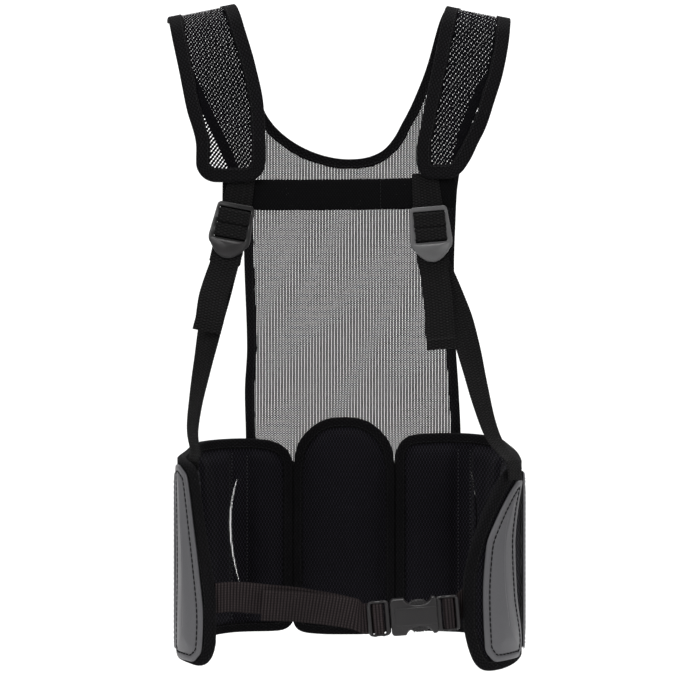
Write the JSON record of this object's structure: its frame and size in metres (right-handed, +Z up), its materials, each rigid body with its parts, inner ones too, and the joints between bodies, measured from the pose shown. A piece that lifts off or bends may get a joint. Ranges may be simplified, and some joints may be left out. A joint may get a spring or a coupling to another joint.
{
  "type": "rib pad",
  "caption": "Worn rib pad: open mesh back with shoulder straps, chest elastic, webbing adjusters and a padded belt whose wings wrap the ribs to a side-release buckle.",
  "frame": {"origin": "on the ridge line of the shoulder straps, midway between the wearer's shoulders, where the part sits when worn", "axes": "+Z up along the wearer's back, +Y towards the back panel, -Y towards the buckle at the front, +X to the right as seen from the front of the picture"},
  "size_m": [0.3134, 0.204, 0.5751],
  "materials": {
    "net": "open warp-knit mesh, matt, dark grey",
    "tape": "folded woven binding tape, matt black",
    "webbing": "ribbed woven webbing and elastic, black",
    "padding": "brushed knit over foam, matt black",
    "coated": "smooth coated sheet, satin grey, topstitched",
    "plastic": "moulded, fine satin texture"
  },
  "bodies": {
    "root": {"back_mesh": "net", "neck_binding": "tape", "side_binding_left": "tape", "side_binding_right": "tape", "strap_mesh_left": "net", "strap_mesh_right": "net", "strap_binding_left": "tape", "strap_binding_right": "tape", "chest_strap": "webbing", "strap_tab_left": "webbing", "strap_tab_right": "webbing", "ladder_lock_left": "plastic", "ladder_lock_right": "plastic", "adjust_strap_left": "webbing", "adjust_strap_right": "webbing", "spine_pad": "padding", "spine_binding": "tape", "wing_pad_left": "padding", "wing_pad_right": "padding", "wing_binding_left": "tape", "wing_binding_right": "tape", "front_plate_left": "coated", "front_plate_right": "coated", "side_plate_left": "coated", "side_plate_right": "coated", "waist_strap_left": "webbing", "waist_strap_right": "webbing", "buckle_prong": "plastic", "buckle_socket": "plastic"}
  },
  "joints": []
}
